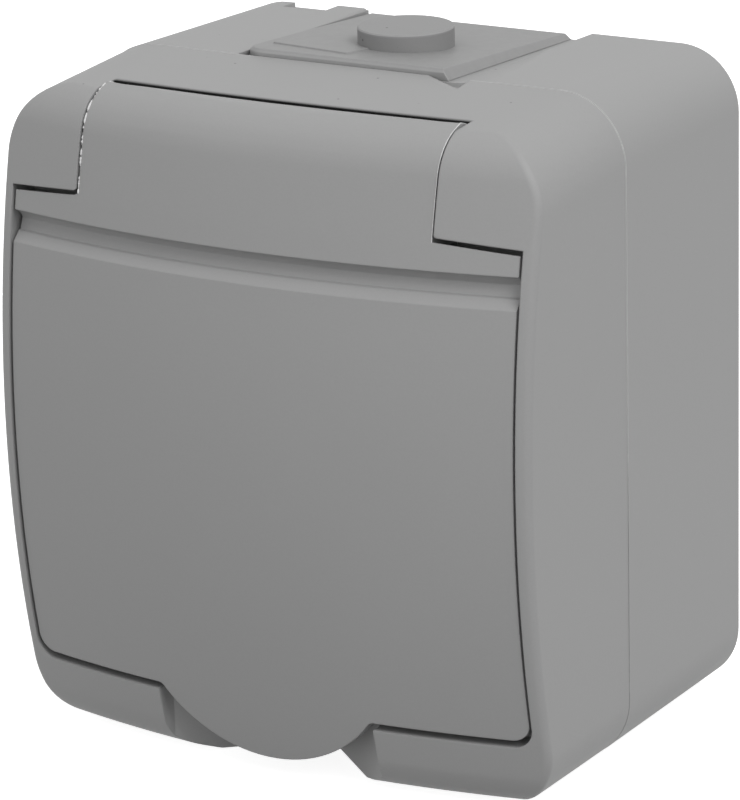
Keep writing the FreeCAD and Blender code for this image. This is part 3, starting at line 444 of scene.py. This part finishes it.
def flash_shape():
    """Ragged bead of mould flash along the sharp upright edges at one distance from the middle."""
    made = Shape("Mould_flash", {
        "Side": 24.7 * MM, "Reach": 0.08 * MM, "Lowest": 28.9 * MM, "Rearmost": -44.5 * MM,
        "Thickness": 0.13 * MM, "Raggedness": 0.9 * MM, "Fineness": 0.12, "Gap level": 0.47,
        "Contrast": 7.0, "Calm side": 0.35, "Sides": 6}, source=True)
    place = made.node("GeometryNodeInputPosition").outputs[0]
    x, y, z = made.split(place)
    angle = Num(made, made.node("GeometryNodeInputMeshEdgeAngle").outputs[0])
    near = abs(abs(x) - made.value("Side")).below(made.value("Reach"))
    high = z.above(made.value("Lowest"))
    ahead = y.below(made.value("Rearmost"))
    chosen = near * high * ahead * angle.above(SHARP_ANGLE)
    inputs = {"Mesh": made.given["Source"], "Selection": chosen}
    edges = made.node("GeometryNodeMeshToCurve", None, inputs).outputs[0]
    blot = made.value("Raggedness")
    settings, inputs = {"mode": "LENGTH"}, {"Curve": edges, "Length": blot * made.value("Fineness")}
    fine = made.node("GeometryNodeResampleCurve", settings, inputs).outputs[0]
    inputs = {"Vector": place, "Scale": 1 / blot, "Detail": 4.0, "Roughness": 0.7}
    noise = Num(made, made.node("ShaderNodeTexNoise", None, inputs).outputs["Fac"])
    ragged = ((noise - made.value("Gap level")) * made.value("Contrast")).clamped()
    calm = x.above(0.0)
    size = ragged * (1 - calm) + (ragged * 0.5 + 1) * calm * made.value("Calm side")
    made.close(made.swept(fine, made.value("Thickness"), Scale=size))
    return made


def smoothed(mesh):
    """Smooth shading that stops at sharp edges."""
    mesh.shade_smooth()
    mesh.set_sharp_from_angle(angle=SMOOTH_ANGLE)


def grown(name, shape, slot, inputs, shift=ORIGIN, source=None):
    """A piece from a group: its inputs are set first, then it becomes plain mesh."""
    piece = new_piece(name, source or bpy.data.meshes.new(name), slot)
    modifier = piece.modifiers.new("Rule", "NODES")
    modifier.node_group = shape.tree
    for label, value in inputs.items():
        modifier[shape.keys[label]] = value
    modifier[shape.keys["Finish"]] = finish(slot)
    mesh = baked(piece)
    work = bmesh.new()
    work.from_mesh(mesh)
    bmesh.ops.translate(work, verts=work.verts, vec=shift)
    bmesh.ops.recalc_face_normals(work, faces=work.faces)
    work.to_mesh(mesh)
    work.free()
    smoothed(mesh)
    return piece


# Finishes

PIT = grey(0.05)
GRAIN = grey(0.45)
DUST = grey(0.5)
RUBBER_DUST = grey(0.36)
# Pale paint on the joint's step: painted light that lifts its shade
PAINTED_JOINT_LIGHT = grey(0.5)
GRIME = grey(0.16)
# Near black for the painted shade on the slot's rear rim, which makes the gap read wider
PAINTED_SLOT_SHADE = grey(0.012)


def moulded_finish(name, colour, roughness, wear_and_light=False):
    """Satin moulded plastic: fine grain, faint flow clouds and specks of dust."""
    made = Finish(name, colour, roughness)
    clouds = made.noise(size=16, detail=3)
    fine = made.noise(size=0.3, detail=3, roughness=0.65)
    shade = made.tinted(clouds, colour, start=0.975, end=1.025)
    shade = made.mix(made.ramp(fine, 0.35, 0.65) * 0.05, shade, GRAIN)
    dust = made.specks(spacing=6.0, radius=0.16) * made.patches(size=5, low=0.5, high=0.62)
    shade = made.mix(dust * 0.3, shade, DUST)
    # Wear, with painted shade on the slot's rim and painted light on the joint
    if wear_and_light:
        shade = wear_and_painted_light(made, shade)
    made.colour(shade)
    made.roughness(fine * 0.05 + clouds * 0.05 + (roughness - 0.05))
    made.relief(fine, depth=0.005, normal=made.rounded(EDGE_ROUNDING) if wear_and_light else None)
    return made.material


def wear_and_painted_light(made, shade):
    """Pinholes and grime on top, painted shade on the slot's rear rim and painted light along the
    joint's step.
    """
    top = made.ramp(made.z, *TOP_BAND)
    pits = made.specks(spacing=4.3, radius=0.2) * made.patches(size=9, low=0.42, high=0.5)
    shade = made.mix(pits * top * 0.7, shade, PIT)

    slab = made.within(made.x, SLAB_MIDDLE, SLAB_HALF_WIDTH, fade=0.5)
    slab = slab * made.ramp(-made.y, JOINT_DEPTH, JOINT_DEPTH - 0.6) * top
    grime = slab * (made.noise(size=1.8, detail=4, roughness=0.65) * 0.35 + 0.2)
    shade = made.mix(grime, shade, GRIME)

    # Painted shade: a near black band on the slot's rear rim, so that the gap reads wider than it is
    behind = made.y + SLOT_DEPTH - made.x * made.x * SLOT_BOW
    rim = made.ramp(behind, -0.3, -0.1) * (1 - made.ramp(behind, 0.15, 0.85))
    rim = rim * made.ramp(made.z, SLOT_LEVEL - 0.5, SLOT_LEVEL + 0.5)
    rim = rim * made.within(made.x, 0, SLOT_HALF_WIDTH, fade=0.2)
    shade = made.mix(rim * 0.96, shade, PAINTED_SLOT_SHADE)

    # Painted light: a pale line on the joint's step that lifts its shade, mostly on the upper half
    line = made.within(made.y, -JOINT_DEPTH, 0.1, fade=0.04)
    upper_half = made.ramp(made.z, *JOINT_LIGHT_BAND)
    scattered = made.patches(size=2.5, low=0.6, high=0.68)
    return made.mix(line * (upper_half * 0.75 + scattered * 0.25), shade, PAINTED_JOINT_LIGHT)


def rubber_finish(name, colour):
    """Matt rubber with a dusty, slightly pitted skin."""
    made = Finish(name, colour, 0.75)
    fine = made.noise(size=0.22, detail=3, roughness=0.6)
    clouds = made.noise(size=4, detail=3)
    shade = made.tinted(clouds, colour, start=0.9, end=1.1)
    dust = made.ramp(made.z, *GROMMET_BAND) * (fine * 0.3 + 0.75)
    shade = made.mix(dust * 0.45, shade, RUBBER_DUST)
    pits = made.specks(spacing=1.9, radius=0.2) * made.patches(size=3, low=0.42, high=0.5)
    made.colour(made.mix(pits * 0.8, shade, PIT))
    made.roughness(clouds * 0.12 + 0.66)
    made.relief(fine, depth=0.012)
    return made.material


def metal_finish(name, colour, roughness, stretch):
    """Drawn or rolled metal with fine streaks and dull spots."""
    made = Finish(name, colour, roughness, Metallic=1.0)
    streaks = made.noise(size=0.18, detail=2, roughness=0.6, stretch=stretch)
    spots = made.ramp(made.noise(size=1.2, detail=3), 0.52, 0.7)
    made.colour(made.tinted(spots * 0.6, colour, start=1.0, end=0.72))
    made.roughness(streaks * 0.16 + spots * 0.14 + (roughness - 0.08))
    made.relief(streaks, depth=0.004)
    return made.material


def all_finishes(looks):
    """Every finish by the name of its slot."""
    body = tuple(looks.body_colour)
    return {
        "housing": moulded_finish("Moulded_grey", body, looks.body_roughness, wear_and_light=True),
        "grommet": rubber_finish("Grey_rubber", tuple(looks.rubber_colour)),
        "seal": rubber_finish("Black_foam", (0.03, 0.03, 0.031)),
        "flash": moulded_finish("Pale_flash", (0.7, 0.7, 0.7), 0.5),
        "well": moulded_finish("Well_grey", tuple(looks.well_colour), 0.4),
        "carrier": moulded_finish("Cream_thermoset", (0.5, 0.48, 0.42), 0.5),
        "brass": metal_finish("Pressed_brass", (0.72, 0.53, 0.24), 0.32, (1, 1, 0.1)),
        "steel": metal_finish("Zinc_steel", (0.6, 0.6, 0.58), 0.34, (0.12, 1, 1)),
    }


finishes = {}


def finish(slot):
    """The material of one slot, made once."""
    if not finishes:
        finishes.update(all_finishes(bpy.context.scene.socket_looks))
    return finishes[slot]


# Pieces

def slot_of(node):
    """The record's slot of one CAD node."""
    for part in frame["record"]["subparts"]:
        if part["node"] == node:
            return part["material_slot"]
    raise RuntimeError("no slot for " + node)


def new_piece(name, mesh, slot):
    """An object at the origin with one finish."""
    piece = bpy.data.objects.new(name, mesh)
    bpy.context.scene.collection.objects.link(piece)
    mesh.materials.clear()
    mesh.materials.append(finish(slot))
    return piece


def baked(piece):
    """The piece's mesh with its modifiers worked in, and the modifiers gone."""
    bpy.context.view_layer.update()
    shown = piece.evaluated_get(bpy.context.evaluated_depsgraph_get())
    mesh = bpy.data.meshes.new_from_object(shown)
    piece.modifiers.clear()
    piece.data = mesh
    return mesh


def merged(node):
    """A copy of a CAD node's mesh with its loose triangles joined and flat areas whole."""
    mesh = frame["nodes"][node].data.copy()
    work = bmesh.new()
    work.from_mesh(mesh)
    bmesh.ops.remove_doubles(work, verts=work.verts, dist=WELD)
    bmesh.ops.dissolve_limit(work, angle_limit=FLAT_ANGLE, verts=work.verts, edges=work.edges)
    work.to_mesh(mesh)
    work.free()
    return mesh


def mark_edges(mesh):
    """Bevel weight on every sharp edge, except round the joint of box and cover."""
    work = bmesh.new()
    work.from_mesh(mesh)
    weight = work.edges.layers.float.new("bevel_weight_edge")
    joint, reach = JOINT_DEPTH * MM, 0.01 * MM
    for edge in work.edges:
        sharp = edge.is_manifold and edge.calc_face_angle() > SHARP_ANGLE
        at_joint = all(abs(vert.co.y + joint) < reach for vert in edge.verts)
        edge[weight] = 1.0 if sharp and not at_joint else 0.0
    work.to_mesh(mesh)
    work.free()


def soft_copy(name, node, body, radius):
    """A stand-in for a CAD node with edges rounded as a mould leaves them and even flat areas."""
    piece = new_piece(name, merged(node), slot_of(node))
    mark_edges(piece.data)
    bevel = piece.modifiers.new("Edges", "BEVEL")
    bevel.width = radius
    bevel.segments = 3
    bevel.limit_method = "WEIGHT"
    bevel.use_clamp_overlap = True
    smoothed(baked(piece))
    even = piece.modifiers.new("Flat areas", "WEIGHTED_NORMAL")
    even.keep_sharp = True
    baked(piece)
    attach(piece, body)
    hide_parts(node)


def in_metres(values):
    """Group inputs given in millimetres, apart from counts, angles and seeds."""
    plain = ("Count", "Scatter", "Seed", "Squareness")
    done = {}
    for label, value in values.items():
        if isinstance(value, tuple):
            done[label] = tuple(Vector(value) * MM)
        else:
            done[label] = value if label in plain else value * MM
    return done


def grown_instead(name, shape, node, body, inputs, shift=ORIGIN):
    """A grown piece that stands in for a CAD node and moves with its body."""
    piece = grown(name, shape, slot_of(node), inputs, shift)
    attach(piece, body)
    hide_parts(node)


# Settings

class SocketLooks(bpy.types.PropertyGroup):
    """Colours and edge sizes of the socket."""

    body_colour: FloatVectorProperty(
        name="Body", description="Colour of the box, cover and lid",
        subtype="COLOR", default=(0.30, 0.30, 0.30), min=0, max=1)
    rubber_colour: FloatVectorProperty(
        name="Grommet", description="Colour of the rubber plug in the cable entry",
        subtype="COLOR", default=(0.22, 0.22, 0.22), min=0, max=1)
    well_colour: FloatVectorProperty(
        name="Well", description="Colour of the socket's round well",
        subtype="COLOR", default=(0.22, 0.22, 0.225), min=0, max=1)
    body_roughness: FloatProperty(
        name="Roughness", description="Roughness of the moulded plastic",
        subtype="FACTOR", default=0.55, min=0, max=1)
    edge_radius: FloatProperty(
        name="Edge radius", description="Rounding that the mould leaves on sharp edges",
        subtype="DISTANCE", default=0.00022, min=0)
    slab_radius: FloatProperty(
        name="Slab radius", description="Rounding of the cable entry slab's edges",
        subtype="DISTANCE", default=0.00036, min=0.0001)
    pitch: FloatProperty(
        name="Thread pitch", description="Pitch of the screws' threads",
        subtype="DISTANCE", default=0.0007, min=0.0002)
    flash: FloatProperty(
        name="Flash", description="Thickness of the mould flash on the lid's upper sides",
        subtype="DISTANCE", default=0.00013, min=0)
    scatter: FloatProperty(
        name="Slot scatter", description="Range over which the screws' slots are turned",
        subtype="ANGLE", default=math.radians(150), min=0)


class SocketStudio(bpy.types.PropertyGroup):
    """Camera and lamps."""

    azimuth: FloatProperty(
        name="Azimuth", description="Angle of the camera to the right of the front",
        subtype="ANGLE", default=math.radians(31.40))
    elevation: FloatProperty(
        name="Elevation", description="Angle of the camera above the level",
        subtype="ANGLE", default=math.radians(17.19))
    roll: FloatProperty(
        name="Roll", description="Turn of the camera about its own view",
        subtype="ANGLE", default=math.radians(-1.42))
    distance: FloatProperty(
        name="Distance", description="From the camera to the point it looks at",
        subtype="DISTANCE", default=0.5621)
    target: FloatVectorProperty(
        name="Target", description="Point that the camera looks at",
        subtype="XYZ", default=(0.0006, -0.030, -0.0005))
    focal_length: FloatProperty(
        name="Focal length", description=f"Lens for a {FILM_SIDE} mm film side, in millimetres",
        default=203.3, min=1)
    ambient: FloatProperty(
        name="Ambient", description="Strength of the even light from all round",
        default=0.65, min=0)
    key: FloatProperty(
        name="Key", description="Power of the large lamp at the upper right, in watts",
        default=7.8, min=0)
    fill: FloatProperty(
        name="Fill", description="Power of the large lamp before the front, in watts",
        default=1.7, min=0)
    top: FloatProperty(
        name="Top", description="Power of the large lamp overhead, in watts",
        default=0.9, min=0)


# Operators

class SOCKET_OT_shells(bpy.types.Operator):
    """Box, cover, lid and entry slab with moulded edges"""

    bl_idname = "socket.shells"
    bl_label = "Moulded shells"

    def execute(self, context):
        looks = context.scene.socket_looks
        radius = looks.edge_radius
        soft_copy("Box_shell", "back_box", "housing", radius)
        soft_copy("Cover_shell", "front_cover", "housing", radius)
        soft_copy("Lid_shell", "lid", "lid", radius)
        soft_copy("Entry_slab", "entry_plate", "housing", looks.slab_radius)
        return {"FINISHED"}


class SOCKET_OT_screws(bpy.types.Operator):
    """Slotted screws of the cover, the carrier, the well and the terminals"""

    bl_idname = "socket.screws"
    bl_label = "Slotted screws"

    def execute(self, context):
        looks = context.scene.socket_looks
        shape = screw_shape()
        wide = {"Shank radius": 1.75, "Head radius": 3.1, "Head height": 2.0,
                "Pitch": looks.pitch / MM, "Thread depth": 0.22, "Plain length": 2.0,
                "Slot depth": 0.9, "Scatter": looks.scatter}
        rows = (
            ("Cover_screws", "cover_screws", {
                **wide, **COVER_SCREWS, "Length": 26.0, "Plain length": 15.0, "Seed": 3}),
            ("Carrier_screws", "carrier_screws", {
                **wide, "Length": 12.0, "Count": 2, "First": (-28.0, -20.4, SOCKET_LEVEL),
                "Step": (56.0, 0.0, 0.0), "Seed": 8}),
            ("Well_screw", "well_screw", {
                **wide, "Head radius": 3.2, "Head height": 1.9, "Length": 11.5,
                "First": (0.0, -34.9, SOCKET_LEVEL), "Seed": 5}),
            ("Terminal_screws", "terminal_screws", {
                **wide, "Shank radius": 1.5, "Head radius": 2.4, "Head height": 1.4,
                "Slot depth": 0.7, "Length": 2.72, "Plain length": 0.3, "Count": 3,
                "First": (-13.0, -30.7, SOCKET_LEVEL - 14.2), "Step": (13.0, 0.0, 0.0), "Seed": 6}),
        )
        for name, node, values in rows:
            grown_instead(name, shape, node, "housing", in_metres(values))
        return {"FINISHED"}


class SOCKET_OT_spring(bpy.types.Operator):
    """Lid spring on the right-hand hinge pin"""

    bl_idname = "socket.spring"
    bl_label = "Lid spring"

    def execute(self, context):
        place = tuple(Vector(SPRING_END) * MM)
        grown_instead("Lid_spring", spring_shape(), "lid_spring", "housing", {}, place)
        return {"FINISHED"}


class SOCKET_OT_flash(bpy.types.Operator):
    """Mould flash along the upper sides of the lid"""

    bl_idname = "socket.flash"
    bl_label = "Mould flash"

    def execute(self, context):
        thick = {"Thickness": context.scene.socket_looks.flash}
        piece = grown("Lid_flash", flash_shape(), "housing", thick, source=merged("lid"))
        piece.data.materials.clear()
        piece.data.materials.append(finish("flash"))
        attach(piece, "lid")
        return {"FINISHED"}


class SOCKET_OT_rings(bpy.types.Operator):
    """Soft ring of the lid and the rings under the cover screws"""

    bl_idname = "socket.rings"
    bl_label = "Soft rings"

    def execute(self, context):
        shape = ring_shape()
        large = {"Outer radius": 24.3, "Inner radius": 22.9, "Thickness": 0.9,
                 "First": (0.0, -53.5, SOCKET_LEVEL)}
        small = {"Outer radius": 3.1, "Inner radius": 1.75, "Thickness": 0.8, **COVER_SCREWS}
        grown_instead("Lid_ring", shape, "lid_seal", "lid", in_metres(large))
        grown_instead("Screw_rings", shape, "screw_rings", "housing", in_metres(small))
        return {"FINISHED"}


class SOCKET_OT_finish(bpy.types.Operator):
    """Finish of every CAD node that stays in view"""

    bl_idname = "socket.finish"
    bl_label = "Finish the rest"

    def execute(self, context):
        for name, node in frame["nodes"].items():
            if node.hide_render:
                continue
            node.data.materials.clear()
            node.data.materials.append(finish(slot_of(name)))
        return {"FINISHED"}


class SOCKET_OT_studio(bpy.types.Operator):
    """Floor, world, lamps and the camera"""

    bl_idname = "socket.studio"
    bl_label = "Studio"

    def execute(self, context):
        studio = context.scene.socket_studio
        make_floor()
        make_world(studio.ambient)
        make_lamps(studio)
        make_camera(studio)
        context.scene.view_settings.view_transform = "Standard"
        return {"FINISHED"}


# Studio, in metres

FLOOR_GAP, FLOOR_RADIUS = 0.0002, 3.0
FLOOR_BOUNCE, FLOOR_MATT, FLOOR_GLOW = 0.22, 0.6, 0.88
LAMP_TARGET = (0, -0.03, 0)
LAMP_SIZE = 0.7


def seen_directly(graph):
    """1 for the camera's own, mirrored and refracted rays, 0 for the light's bounces."""
    path = graph.node("ShaderNodeLightPath").outputs
    names = ("Is Camera Ray", "Is Glossy Ray", "Is Transmission Ray")
    camera, mirrored, refracted = (Num(graph, path[name]) for name in names)
    return (camera + mirrored + refracted).clamped()


def make_floor():
    """Pale floor under the box that shows white and sends little light back up."""
    low = CAD_BOX[0][2]
    mesh = bpy.data.meshes.new("Floor")
    work = bmesh.new()
    place = Matrix.Translation((0, 0, low - FLOOR_GAP))
    bmesh.ops.create_circle(work, cap_ends=True, segments=96, radius=FLOOR_RADIUS, matrix=place)
    work.to_mesh(mesh)
    work.free()
    floor = bpy.data.objects.new("Floor", mesh)
    bpy.context.scene.collection.objects.link(floor)
    made = bpy.data.materials.new("Pale_floor")
    made.use_nodes = True
    graph = Graph(made.node_tree)
    made.node_tree.nodes.clear()
    bounce = graph.node("ShaderNodeBsdfDiffuse", None, {"Color": grey(FLOOR_BOUNCE)})
    glow = graph.node("ShaderNodeEmission", None, {"Color": grey(1.0), "Strength": FLOOR_GLOW})
    matt = graph.node("ShaderNodeBsdfDiffuse", None, {"Color": grey(FLOOR_MATT)})
    pale = graph.node("ShaderNodeAddShader", None, {0: glow.outputs[0], 1: matt.outputs[0]})
    both = {0: seen_directly(graph), 1: bounce.outputs[0], 2: pale.outputs[0]}
    mixed = graph.node("ShaderNodeMixShader", None, both)
    graph.node("ShaderNodeOutputMaterial", None, {"Surface": mixed.outputs[0]})
    mesh.materials.append(made)


def make_world(ambient):
    """Even light all round, seen as white."""
    world = bpy.data.worlds.new("Studio")
    world.use_nodes = True
    world.node_tree.nodes.clear()
    graph = Graph(world.node_tree)
    level = seen_directly(graph) * (1 - ambient) + ambient
    light = graph.node("ShaderNodeBackground", None, {"Color": grey(1.0), "Strength": level})
    graph.node("ShaderNodeOutputWorld", None, {"Surface": light.outputs[0]})
    bpy.context.scene.world = world


def make_lamp(name, place, power):
    """A large square lamp that faces the socket."""
    lamp = bpy.data.lights.new(name, "AREA")
    lamp.energy = power
    lamp.size = LAMP_SIZE
    holder = bpy.data.objects.new(name, lamp)
    holder.location = place
    aim = Vector(LAMP_TARGET) - Vector(place)
    holder.rotation_euler = aim.to_track_quat("-Z", "Y").to_euler()
    bpy.context.scene.collection.objects.link(holder)


def make_lamps(studio):
    """A key lamp at the upper right, and weaker ones before the front and overhead."""
    make_lamp("Key", (0.86, -0.38, 0.88), studio.key)
    make_lamp("Fill", (0.12, -1.05, 0.12), studio.fill)
    make_lamp("Top", (0, -0.15, 1.2), studio.top)


def make_camera(studio):
    """Camera at the photo's place, from angles, distance and target."""
    turn, lift, roll = studio.azimuth, studio.elevation, studio.roll
    ground = math.cos(lift)
    back = Vector((math.sin(turn) * ground, -math.cos(turn) * ground, math.sin(lift)))
    right = (-back).cross(Vector((0, 0, 1))).normalized()
    up = right.cross(-back)
    right, up = (right * math.cos(roll) + up * math.sin(roll),
                 up * math.cos(roll) - right * math.sin(roll))
    lens = bpy.data.cameras.new("Photo_camera")
    lens.lens = studio.focal_length
    lens.sensor_width = FILM_SIDE
    lens.clip_start = 0.01
    holder = bpy.data.objects.new("Photo_camera", lens)
    place = Vector(studio.target) + back * studio.distance
    turned = Matrix((right, up, back)).transposed().to_4x4()
    holder.matrix_world = Matrix.Translation(place) @ turned
    bpy.context.scene.collection.objects.link(holder)
    bpy.context.scene.camera = holder


# Panel and registration

class SOCKET_PT_panel(bpy.types.Panel):
    """Settings and steps of the socket"""

    bl_idname = "SOCKET_PT_panel"
    bl_label = "Outdoor socket"
    bl_space_type = "VIEW_3D"
    bl_region_type = "UI"
    bl_category = "Socket"

    def draw(self, context):
        column = self.layout.column()
        for group in (context.scene.socket_looks, context.scene.socket_studio):
            for name in group.bl_rna.properties.keys():
                if name not in ("rna_type", "name"):
                    column.prop(group, name)
        for step in STEPS:
            column.operator(step.bl_idname)


STEPS = (SOCKET_OT_shells, SOCKET_OT_screws, SOCKET_OT_spring, SOCKET_OT_rings, SOCKET_OT_flash,
         SOCKET_OT_finish, SOCKET_OT_studio)
CLASSES = (SocketLooks, SocketStudio, *STEPS, SOCKET_PT_panel)


def register():
    """Add the classes and the scene's two groups of settings."""
    for made in CLASSES:
        bpy.utils.register_class(made)
    bpy.types.Scene.socket_looks = PointerProperty(type=SocketLooks)
    bpy.types.Scene.socket_studio = PointerProperty(type=SocketStudio)


def unregister():
    """Take them away again."""
    del bpy.types.Scene.socket_looks
    del bpy.types.Scene.socket_studio
    for made in reversed(CLASSES):
        bpy.utils.unregister_class(made)


def main():
    """Every step in order."""
    register()
    bpy.ops.socket.shells()
    bpy.ops.socket.screws()
    bpy.ops.socket.spring()
    bpy.ops.socket.rings()
    bpy.ops.socket.flash()
    bpy.ops.socket.finish()
    bpy.ops.socket.studio()


if __name__ == "__main__":
    main()
